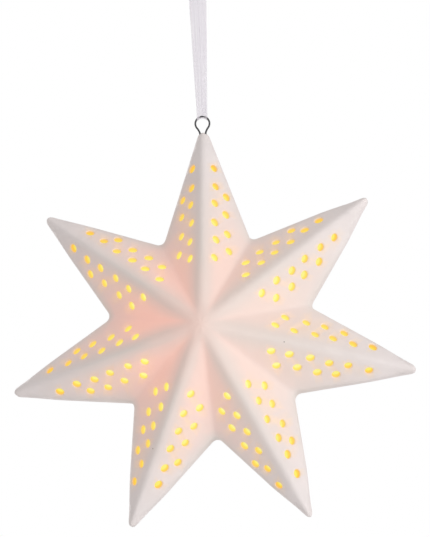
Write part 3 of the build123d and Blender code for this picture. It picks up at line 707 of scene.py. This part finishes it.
# Painted lamplight: the clay is tinted warmer round the holes.
colour = mix_colours(tree, by_hole, colour, BISQUE_HOLE_LAMPLIT_TINT)
colour = mix_colours(tree, grain["Speck"], colour, SPECK_BROWN)
# Painted glow: orange emission where the lamp's light comes through the clay.
glow = ramp(tree, let_through, [(0.0, BLACK), (1.0, SEEP_ORANGE)])
# Painted glow: yellow emission round the holes.
painted_hole_glow = ramp(tree, by_hole, [(0.0, BLACK), (1.0, HOLE_LAMPLIGHT_YELLOW)])
sponged = relief(tree, grain["Cloud"], strength=0.5, distance=0.0012)
feed(tree, clay, {
    "Base Color": colour,
    "Roughness": polish(tree, grain["Height"], least=0.62, most=0.8),
    "Specular IOR Level": 0.25,
    "Normal": relief(tree, grain["Height"], strength=0.25, distance=0.0001, Normal=sponged),
    "Emission Color": mix_colours(tree, 1.0, glow, painted_hole_glow, way="ADD"),
    "Emission Strength": 1.0,
})
star_mesh.materials.append(bisque)

# Lit clay: the inside of the shell and the walls of its holes. Its base is dark, painted shade, and its
# colour is painted lamplight by depth in the wall, yellow near the light and orange farther off.
INNER_CLAY_SHADE_DARK = (0.14, 0.11, 0.06)
INNER_CLAY_SHADE_LIGHT = (0.20, 0.15, 0.08)
WALL_LAMPLIGHT_NEAR = [
    (0.0, (0.89, 0.66, 0.28)),
    (0.35, (0.90, 0.77, 0.13)),
    (0.7, (0.89, 0.86, 0.21)),
    (1.0, (0.89, 0.90, 0.38)),
]
WALL_LAMPLIGHT_FAR = [
    (0.0, (0.86, 0.50, 0.28)),
    (0.45, (0.90, 0.50, 0.05)),
    (0.8, (0.88, 0.66, 0.09)),
    (1.0, (0.86, 0.78, 0.14)),
]
lit_clay, tree, clay = new_material("lit_clay")
grain = place_group(tree, bisque_grain)
wall_depth = map_parts(tree, "wall_light")["Y"]
far_off = place_group(tree, lamp_reach, Start=0.024, End=0.066)["Share"]
by_lamp = ramp(tree, wall_depth, WALL_LAMPLIGHT_NEAR)
feed(tree, clay, {
    "Base Color": blend(tree, grain["Cloud"], INNER_CLAY_SHADE_DARK, INNER_CLAY_SHADE_LIGHT),
    "Roughness": 0.8,
    "Specular IOR Level": 0.1,
    "Emission Color": mix_colours(tree, far_off, by_lamp, ramp(tree, wall_depth, WALL_LAMPLIGHT_FAR)),
    "Emission Strength": 0.95,
})
star_mesh.materials.append(lit_clay)

# Wire eye: one piece of 0.7 mm drawn steel wire, dark from the drawing, bent into a drop-shaped eye.
# Its two legs are set in the top point.
WIRE_DARK = (0.035, 0.035, 0.037)
WIRE_LIGHT = (0.10, 0.10, 0.104)


def stretched(tree, vector, scale):
    return add_node(tree, "ShaderNodeMapping", {"Vector": vector, "Scale": scale}).outputs["Vector"]


drawn_wire, tree, steel = new_material("drawn_wire")
along_wire = stretched(tree, object_place(tree), (1.0, 1.0, 0.2))
scores = noise(tree, along_wire, Scale=5000.0, Detail=3.0)
feed(tree, steel, {
    "Base Color": blend(tree, scores, WIRE_DARK, WIRE_LIGHT),
    "Roughness": polish(tree, scores, least=0.38, most=0.52),
    "Metallic": 0.9,
})


def dress(material, *names):
    """Gives a material to parts that are shown as they were built."""
    for name in names:
        part = frame["nodes"][name]
        part.data.materials.clear()
        part.data.materials.append(material)


dress(drawn_wire, "wire_eye")

# Ribbon: sheer white organza, 6.5 mm wide, doubled through the eye and tied over the hook. Each strand is a
# flat strip that the wire gathers to 4 mm, with fine lengthwise creases that fade out above it.
RIBBON_WIDTH = 0.0065
RIBBON_GATHER = 0.0040
RIBBON_TIED = 0.0024
RIBBON_THICKNESS = 0.00025
RIBBON_DROP = 0.060
RIBBON_COLUMNS = 25
EYE_RADIUS = 0.0027
STRAND_SPACE = 0.000875
HOOK_BELOW = 0.00075
TIED_DROP = 0.00225
NECK_DROP = 0.007
GATHER_RISE = 0.002
FULL_WIDTH_RISE = 0.044
HUG_RISE = 0.005
HUG_WIDEST = 0.9 * EYE_RADIUS
EDGE_FLARE = 0.0004
CREASE_HEIGHT = 0.00002
CREASE_AT_EYE = 0.00005
CREASE_FADE = 0.012
CREASE_START = (-0.0002, 0.003)
CREASE_END = (-0.004, -HOOK_BELOW)
FOLD_WAVES = 23
FOLD_TURN = 1.1
FINE_FOLDS = 0.6
FINE_WAVES = 41
FINE_TURN = 2.0
LINE_STEPS = 32


def ribbon_route(side):
    return [
        (0, 0, -RIBBON_DROP - STRAND_SPACE),
        (0, side * STRAND_SPACE, -RIBBON_DROP),
        (0, side * STRAND_SPACE, -HOOK_BELOW),
        (0, 0, RIBBON_THICKNESS / 2),
    ]


def spline_points(name, route):
    """Points along a smooth line that has the route's points as its control points."""
    curve = bpy.data.curves.new(name, "CURVE")
    curve.dimensions = "3D"
    spline = curve.splines.new("NURBS")
    spline.points.add(len(route) - 1)
    for point, place in zip(spline.points, route):
        point.co = (*place, 1)
    spline.order_u = 3
    spline.use_endpoint_u = True
    spline.resolution_u = LINE_STEPS
    line = bpy.data.objects.new(name, curve)
    path = bpy.data.meshes.new_from_object(line)
    points = [v.co.copy() for v in path.vertices]
    bpy.data.objects.remove(line)
    bpy.data.curves.remove(curve)
    bpy.data.meshes.remove(path)
    return points


def smooth_share(value, start, end):
    share = min(max((value - start) / (end - start), 0.0), 1.0)
    return share * share * (3 - 2 * share)


def sheet_mesh(name, rows):
    """A strip from rows of points. Its map holds the share across and the metres along."""
    mesh = bpy.data.meshes.new(name)
    columns = len(rows[0])
    faces = []
    for j in range(len(rows) - 1):
        for k in range(columns - 1):
            first = j * columns + k
            faces.append((first, first + 1, first + columns + 1, first + columns))
    mesh.from_pydata([point for row in rows for point in row], [], faces)
    middles = [row[columns // 2] for row in rows]
    lengths = np.cumsum([0.0] + [(b - a).length for a, b in zip(middles, middles[1:])])
    threads = mesh.uv_layers.new(name="threads")
    for loop in mesh.loops:
        j, k = divmod(loop.vertex_index, columns)
        threads.data[loop.index].uv = (k / (columns - 1) - 0.5, lengths[j])
    mesh.shade_smooth()
    return mesh


def ribbon_strand(name, side):
    """One strand along its route, gathered round the wire and drawn in again over the hook."""
    path = spline_points(name, ribbon_route(side))
    rows = []
    for point in path:
        rise = point.z + RIBBON_DROP
        grow = min(max((rise - GATHER_RISE) / (FULL_WIDTH_RISE - GATHER_RISE), 0.0), 1.0)
        width = RIBBON_GATHER + (RIBBON_WIDTH - RIBBON_GATHER) * grow
        width -= (width - RIBBON_GATHER) * smooth_share(point.z, -NECK_DROP, -HOOK_BELOW)
        width -= (width - RIBBON_TIED) * smooth_share(point.z, -TIED_DROP, 0)
        hug = 1 - smooth_share(rise, 0.0, HUG_RISE)
        flare = EDGE_FLARE * hug * smooth_share(rise, -STRAND_SPACE, 0.0)
        crease = CREASE_HEIGHT + CREASE_AT_EYE * math.exp(-max(rise, 0.0) / CREASE_FADE)
        crease *= smooth_share(rise, *CREASE_START) * (1 - smooth_share(point.z, *CREASE_END))
        row = []
        for k in range(RIBBON_COLUMNS):
            share = k / (RIBBON_COLUMNS - 1) - 0.5
            x = share * width
            droop = (EYE_RADIUS - math.sqrt(EYE_RADIUS**2 - min(abs(x), HUG_WIDEST) ** 2)) * hug
            fold = math.sin(FOLD_WAVES * share + FOLD_TURN * side)
            fold += FINE_FOLDS * math.sin(FINE_WAVES * share + FINE_TURN * side)
            stand_off = crease * fold + flare * (2 * share) ** 2
            row.append(Vector((x, point.y + side * stand_off, point.z - droop)))
        rows.append(row)
    strand = bpy.data.objects.new(name, sheet_mesh(name, rows))
    scene.collection.objects.link(strand)
    return strand, path


front_ribbon, front_path = ribbon_strand("organza_front", -1)
back_ribbon, back_path = ribbon_strand("organza_back", 1)

WARP_THREADS = 34
WEFT_PITCH = 0.00019
ORGANZA_TINTS = [(0.3, (0.80, 0.74, 0.82)), (0.5, (0.90, 0.86, 0.92)), (0.7, (0.96, 0.94, 0.97))]


def thread_wave(tree, place, count):
    turned = add_node(tree, "ShaderNodeMath", {0: place, 1: 2 * math.pi * count}, operation="MULTIPLY")
    return add_node(tree, "ShaderNodeMath", {0: turned.outputs[0]}, operation="SINE").outputs[0]


organza, tree, cloth = new_material("organza")
drawn = add_node(tree, "ShaderNodeUVMap", {}, uv_map="threads")
lengthwise = stretched(tree, drawn.outputs["UV"], (1.0, 3.0, 1.0))
streaks = noise(tree, lengthwise, Scale=16.0, Detail=4.0)
threads = map_parts(tree, "threads")
warp = thread_wave(tree, threads["X"], WARP_THREADS)
weft = thread_wave(tree, threads["Y"], 1 / WEFT_PITCH)
weave = add_node(tree, "ShaderNodeMath", {0: warp, 1: weft}, operation="MAXIMUM").outputs[0]
cover = add_node(tree, "ShaderNodeMapRange", {
    "Value": weave,
    "From Min": -0.6,
    "From Max": 0.9,
    "To Min": 0.42,
    "To Max": 0.62,
})
feed(tree, cloth, {
    "Base Color": ramp(tree, streaks, ORGANZA_TINTS),
    "Alpha": cover.outputs["Result"],
    "Roughness": 0.5,
    "Sheen Weight": 0.3,
    "Normal": relief(tree, weave, strength=0.3, distance=0.00004),
})

for strand in (front_ribbon, back_ribbon):
    strand.data.materials.append(organza)
    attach(strand, "ribbon")
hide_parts("ribbon_front_strand")
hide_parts("ribbon_back_strand")

# Knot: both ends of the ribbon tied together over the hook. Two turns of it cross on the bunched cloth
# inside, and two tails of 13 mm are cut to a notch.
KNOT_MIDDLE = Vector((0, 0, 0.00205))
KNOT_RADIUS = 0.0022
KNOT_HALF_LENGTH = 0.0027
CORE_FILL = 0.88
CORE_GRID = (17, 33)
CORE_CREASES = ((0.05, 5, 900), (0.03, 9, -1500))
TURN_GRID = (49, 13)
TURN_LEAN = 0.42
TURN_HALF_WIDTH = 0.40
TURN_SINK = 0.24
TURN_CREASE = 0.03
CREASES_ACROSS = 7
CREASES_AROUND = 3
UNDER_LIFT = -0.02
TAIL_GRID = (25, 13)
TAIL_LENGTH = 0.013
TAIL_WIDTH = 0.0050
TAIL_GATHER = 0.45
TAIL_OPENING = (0.05, 0.45)
TAIL_NOTCH = 0.0018
TAIL_SPREAD = math.radians(22)
TAIL_FOLD = 0.00035
TAIL_FOLDS = 9
TAIL_STAND_OFF = 0.0004
TAIL_CURL = 0.0012
TAIL_TWIST = 0.0006
TWIST_TURN = 3


def knot_core():
    """The bunched cloth inside the knot, a creased barrel."""
    rows = []
    for step in np.linspace(-1, 1, CORE_GRID[0]):
        x = KNOT_HALF_LENGTH * math.sin(step * math.pi / 2)
        radius = CORE_FILL * KNOT_RADIUS * max(1 - abs(x / KNOT_HALF_LENGTH) ** 3, 0.0) ** (1 / 3)
        row = []
        for turn in np.linspace(0, 2 * math.pi, CORE_GRID[1]):
            folds = sum(high * math.sin(count * turn + lean * x) for high, count, lean in CORE_CREASES)
            creased = radius * (1 + folds)
            row.append(KNOT_MIDDLE + Vector((x, creased * math.cos(turn), creased * math.sin(turn))))
        rows.append(row)
    return rows


def knot_turn(lean, lift):
    """One turn of the ribbon round the core, leaning across it, with a full middle and sunk edges."""
    rows = []
    for turn in np.linspace(0, 2 * math.pi, TURN_GRID[0]):
        row = []
        for across in np.linspace(-1, 1, TURN_GRID[1]):
            x = KNOT_HALF_LENGTH * (lean * math.sin(turn) + TURN_HALF_WIDTH * across)
            crease = TURN_CREASE * math.sin(CREASES_ACROSS * across + CREASES_AROUND * turn)
            bulge = 1 - TURN_SINK * across**2 + crease * (1 - across**2)
            radius = KNOT_RADIUS * (bulge + lift * math.cos(2 * turn))
            row.append(KNOT_MIDDLE + Vector((x, radius * math.cos(turn), radius * math.sin(turn))))
        rows.append(row)
    return rows


def knot_tail(side):
    """A tail that leaves the knot gathered, opens to its width and curls a little."""
    rows = []
    for share in np.linspace(0, 1, TAIL_GRID[0]):
        opened = TAIL_GATHER + (1 - TAIL_GATHER) * smooth_share(share, *TAIL_OPENING)
        row = []
        for across in np.linspace(-0.5, 0.5, TAIL_GRID[1]):
            x = across * TAIL_WIDTH * opened
            z = share * (TAIL_LENGTH - TAIL_NOTCH * (1 - 2 * abs(across)))
            fold = TAIL_FOLD * math.cos(TAIL_FOLDS * across + side) * (1 - share)
            twist = TAIL_TWIST * across * math.sin(TWIST_TURN * share)
            curl = side * (TAIL_STAND_OFF + TAIL_CURL * share**2 + twist) + fold
            turned_x = x * math.cos(TAIL_SPREAD) + side * z * math.sin(TAIL_SPREAD)
            turned_z = z * math.cos(TAIL_SPREAD) - side * x * math.sin(TAIL_SPREAD)
            row.append(KNOT_MIDDLE + Vector((turned_x, curl, turned_z)))
        rows.append(row)
    return rows


for name, rows in (
    ("knot_core", knot_core()),
    ("knot_turn_under", knot_turn(-TURN_LEAN, UNDER_LIFT)),
    ("knot_turn_over", knot_turn(TURN_LEAN, 0.0)),
    ("left_tail", knot_tail(-1)),
    ("right_tail", knot_tail(1)),
):
    piece = bpy.data.objects.new(name, sheet_mesh(name, rows))
    scene.collection.objects.link(piece)
    piece.data.materials.append(organza)
    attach(piece, "ribbon")
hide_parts("ribbon_knot")

# Lamp housing, door and front cap: moulded in warm white plastic with a fine spark-eroded skin. The flange
# sits in the star's back, the door closes the cell's pocket with one screw, and the cap closes the lamp's
# front over the board.
moulded_skin, skin_in, skin_out = new_group("moulded_skin", {"Grain per metre": 4200.0}, ["Height", "Cloud"])
place = object_place(moulded_skin)
spark = noise(moulded_skin, place, Scale=skin_in["Grain per metre"], Detail=2.0)
flow = noise(moulded_skin, place, Scale=160.0, Detail=2.0, Distortion=0.6)
feed(moulded_skin, skin_out, {"Height": spark, "Cloud": flow})


def moulded(name, dark, light, shine, grain_height):
    """A moulded plastic or rubber between two colours, with a range of roughness and a fine skin."""
    material, tree, plastic = new_material(name)
    skin = place_group(tree, moulded_skin)
    feed(tree, plastic, {
        "Base Color": blend(tree, skin["Cloud"], dark, light),
        "Roughness": polish(tree, skin["Height"], *shine),
        "Normal": relief(tree, skin["Height"], strength=0.35, distance=grain_height),
    })
    return material


MOULDED_EDGE = 0.00018
EDGE_ANGLE = math.radians(40)
WELD_REACH = 1e-6


def soften(width, *names):
    """Eases the edges of moulded and pressed parts."""
    for name in names:
        part = frame["nodes"][name]
        weld = part.modifiers.new("one_skin", "WELD")
        weld.merge_threshold = WELD_REACH
        edges = part.modifiers.new("eased_edges", "BEVEL")
        edges.width = width
        edges.segments = 2
        edges.limit_method = "ANGLE"
        edges.angle_limit = EDGE_ANGLE


WHITE_PLASTIC = dict(
    dark=(0.80, 0.78, 0.755), light=(0.86, 0.84, 0.815), shine=(0.42, 0.6), grain_height=0.00004
)
LAMPLIGHT = [(0.0, (0.95, 0.62, 0.16)), (0.35, (0.88, 0.56, 0.14)), (1.0, (0.74, 0.45, 0.11))]
UNLIT = (0, 0, 0, 1)
LIT_FROM = 0.0062
LIT_FULLY = 0.0094
white_plastic = moulded("white_plastic", **WHITE_PLASTIC)
dress(white_plastic, "battery_door")
# The housing and front cap carry painted lamplight: warm emission, strongest near the light, that fades in
# from 6.2 to 9.4 mm in front of the star's back.
lit_plastic = moulded("lit_plastic", **WHITE_PLASTIC)
tree = lit_plastic.node_tree
bathed = ramp(tree, place_group(tree, lamp_reach, Start=0.004, End=0.020)["Share"], LAMPLIGHT)
height = add_node(
    tree, "ShaderNodeVectorMath", {0: object_place(tree), 1: -out_of_back}, operation="DOT_PRODUCT"
)
back_depth = out_of_back.dot(star_frame.translation)
inside = share_of(tree, height.outputs["Value"], LIT_FROM - back_depth, LIT_FULLY - back_depth)
feed(tree, tree.nodes["Principled BSDF"], {
    "Emission Color": mix_colours(tree, inside, UNLIT, bathed),
    "Emission Strength": 0.8,
})
dress(lit_plastic, "lamp_housing", "lamp_front_cap")
soften(MOULDED_EDGE, "lamp_housing", "battery_door", "lamp_front_cap")

# Switch: a pressed steel case between the lamp's flange and its floor. Its black moulded slider has a knob
# that stands in a slot of the flange, and its three tinned pins go through the board.
PRESSED_EDGE = 0.00008
brushed_metal, metal_in, metal_out = new_group(
    "brushed_metal", {"Scores per metre": 2400.0}, ["Streak", "Cloud"]
)
place = object_place(brushed_metal)
one_way = stretched(brushed_metal, place, (0.06, 1.0, 1.0))
streak = noise(brushed_metal, one_way, Scale=metal_in["Scores per metre"], Detail=3.0)
stain = noise(brushed_metal, place, Scale=260.0)
feed(brushed_metal, metal_out, {"Streak": streak, "Cloud": stain})


def plated(name, dark, light, shine):
    """A plated or bare metal between two colours, with a range of roughness along its brushing."""
    material, tree, metal = new_material(name)
    brushing = place_group(tree, brushed_metal)
    feed(tree, metal, {
        "Base Color": blend(tree, brushing["Cloud"], dark, light),
        "Roughness": polish(tree, brushing["Streak"], *shine),
        "Normal": relief(tree, brushing["Streak"], strength=0.15, distance=0.00002),
        "Metallic": 1.0,
    })
    return material


satin_steel = plated("satin_steel", dark=(0.50, 0.50, 0.50), light=(0.62, 0.62, 0.61), shine=(0.24, 0.42))
black_plastic = moulded(
    "black_plastic", dark=(0.012, 0.012, 0.013), light=(0.024, 0.024, 0.025), shine=(0.4, 0.58),
    grain_height=0.00003,
)
tinned_metal = plated("tinned_metal", dark=(0.55, 0.55, 0.54), light=(0.68, 0.68, 0.66), shine=(0.3, 0.5))
dress(satin_steel, "switch_body")
dress(black_plastic, "switch_slider")
dress(tinned_metal, "switch_pins")
soften(PRESSED_EDGE, "switch_body", "switch_slider")

# Contacts: two leaves of nickel-plated spring strip, one against the cell's rim and one that presses on its
# cap. Their tails go through the lamp's floor and the board.
spring_metal = plated("spring_metal", dark=(0.56, 0.54, 0.49), light=(0.68, 0.66, 0.61), shine=(0.2, 0.36))
dress(spring_metal, "positive_contact", "negative_spring")

# Board: a disc of green glass-fibre board with solder mask over its copper, pressed on three posts by the
# front cap. It carries one resistor, and the light's two tinned leads go through it.
COPPER_GREENS = [(0.0, (0.016, 0.12, 0.045)), (0.34, (0.014, 0.11, 0.04)), (0.4, (0.008, 0.06, 0.024))]
solder_mask, tree, mask = new_material("solder_mask")
place = object_place(tree)
tracks = add_node(
    tree, "ShaderNodeTexVoronoi", {"Vector": place, "Scale": 320.0, "Randomness": 0.35}, distance="CHEBYCHEV"
)
orange_peel = noise(tree, place, Scale=900.0)
feed(tree, mask, {
    "Base Color": ramp(tree, tracks.outputs["Distance"], COPPER_GREENS),
    "Roughness": polish(tree, orange_peel, least=0.22, most=0.36),
})
dress(solder_mask, "circuit_board")
dress(black_plastic, "resistor")
dress(tinned_metal, "led_leads")

# Light: a 5 mm LED cast in warm tinted resin, with a lip at its foot. It stands in the front cap's collar
# and shines, most of all in its dome.
RESIN_GLOW = [(0.0, (1.0, 0.92, 0.55)), (0.5, (1.0, 0.80, 0.30)), (1.0, (0.8, 0.45, 0.08))]
led_resin, tree, resin = new_material("led_resin")
shining = ramp(tree, place_group(tree, lamp_reach, Start=0.001, End=0.009)["Share"], RESIN_GLOW)
feed(tree, resin, {
    "Base Color": shining,
    "Roughness": 0.12,
    "Emission Color": shining,
    "Emission Strength": 0.9,
})
dress(led_resin, "led")

# Grip ring: a soft ring moulded in silicone, stretched into the housing's groove. It bears on the bore in
# the porcelain and so holds the lamp in the star.
silicone = moulded(
    "silicone", dark=(0.52, 0.52, 0.51), light=(0.60, 0.60, 0.585), shine=(0.5, 0.68), grain_height=0.00003
)
dress(silicone, "grip_ring")

# Cell and screw: a 20 mm coin cell in a pressed can of satin steel, and the door's steel cross-head screw,
# which comes away with the door.
dress(satin_steel, "coin_cell", "door_screw")
soften(PRESSED_EDGE, "door_screw")
